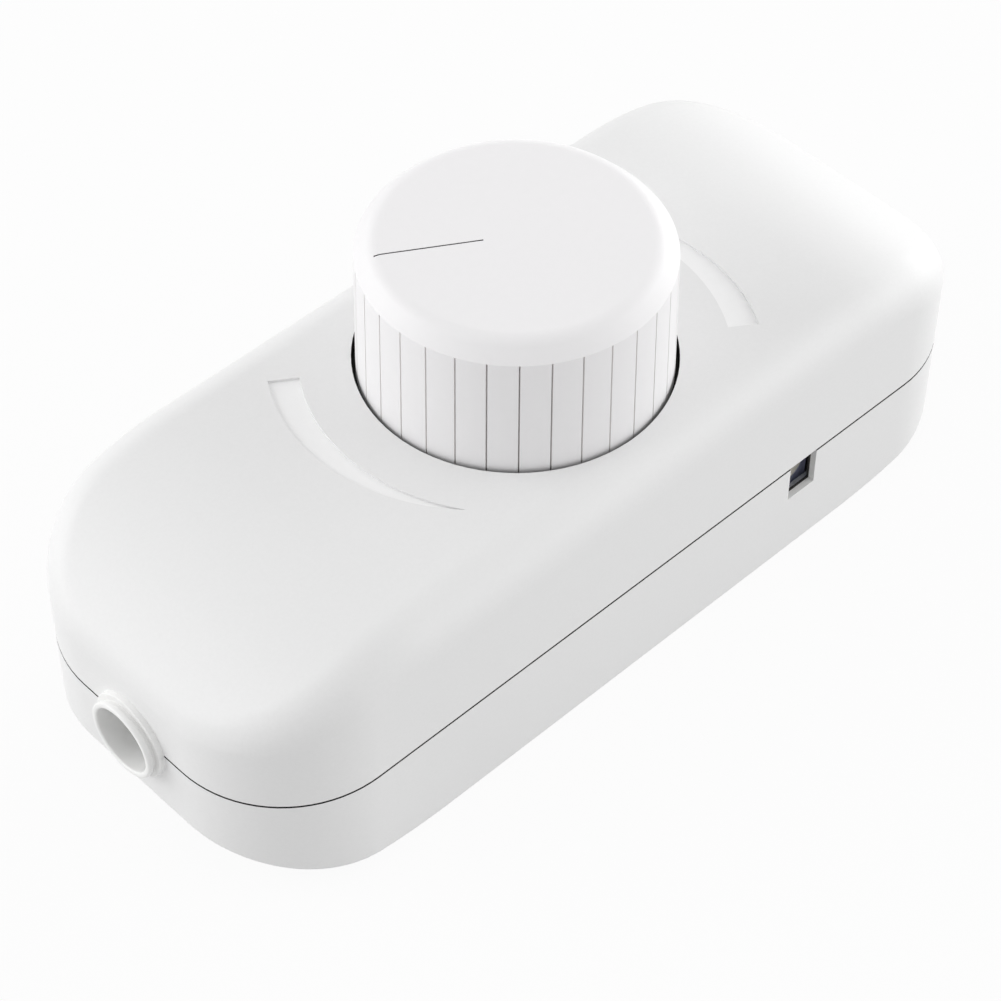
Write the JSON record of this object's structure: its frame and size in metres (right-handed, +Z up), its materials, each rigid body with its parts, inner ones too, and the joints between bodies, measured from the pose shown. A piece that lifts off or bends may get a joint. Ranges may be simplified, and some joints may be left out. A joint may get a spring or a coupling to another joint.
{
  "type": "rotary cord dimmer",
  "caption": "In-line cord dimmer: white two-part case with rounded ends, a cord collar at each end and a large fluted knob that turns in a round well to set the level.",
  "frame": {"origin": "middle of the underside of the case", "axes": "+X along the cord and the case, +Y across the case, +Z up through the knob"},
  "size_m": [0.1032, 0.0406, 0.0441],
  "materials": {
    "case_white": "fine moulded texture",
    "knob_white": "satin moulded",
    "collar_white": "smooth moulded",
    "plated_steel": "nickel plated",
    "control_metal": "die cast and stamped",
    "phenolic": "pressed laminate",
    "tinned_brass": "tinned",
    "black_moulding": "moulded",
    "board_laminate": "solder resist",
    "terminal_green": "moulded",
    "capacitor_yellow": "moulded",
    "ferrite": "sintered",
    "copper": "enamelled wire",
    "resistor_beige": "lacquered",
    "diac_blue": "lacquered",
    "heat_sink_metal": "drawn",
    "trimmer_blue": "moulded",
    "trimmer_grey": "moulded"
  },
  "bodies": {
    "case": {"base_tray": "case_white", "top_cover": "case_white", "cord_bushing_front": "collar_white", "cord_bushing_rear": "collar_white", "case_screws": "plated_steel", "pot_bushing": "control_metal", "pot_can": "plated_steel", "pot_wafer": "phenolic", "pot_pins": "tinned_brass", "switch_housing": "black_moulding", "switch_pins": "tinned_brass", "pot_washer": "plated_steel", "pot_nut": "plated_steel", "cord_clamp_front": "black_moulding", "cord_clamp_rear": "black_moulding", "clamp_screws": "plated_steel", "circuit_board": "board_laminate", "board_screws": "plated_steel", "input_terminal": "terminal_green", "output_terminal": "terminal_green", "terminal_screws": "plated_steel", "film_capacitor": "capacitor_yellow", "choke_core": "ferrite", "choke_winding": "copper", "fuse": "black_moulding", "resistors": "resistor_beige", "diac": "diac_blue", "heat_sink": "heat_sink_metal", "triac": "black_moulding", "heat_sink_screw": "plated_steel", "trimmer_body": "trimmer_blue"},
    "knob": {"knob": "knob_white", "pot_shaft": "control_metal", "pot_rotor": "phenolic", "shaft_ring": "plated_steel"},
    "trimmer": {"trimmer_rotor": "trimmer_grey"}
  },
  "joints": [
    {"name": "knob_turn", "type": "hinge", "parent": "case", "child": "knob", "pos_m": [0, 0, 0.03], "axis": [0, 0, -1], "range_deg": [-90.5, 209.5]},
    {"name": "trimmer_turn", "type": "hinge", "parent": "case", "child": "trimmer", "pos_m": [0.02145, -0.018, 0.01055], "axis": [0, -1, 0], "range_deg": [-130, 130]}
  ]
}
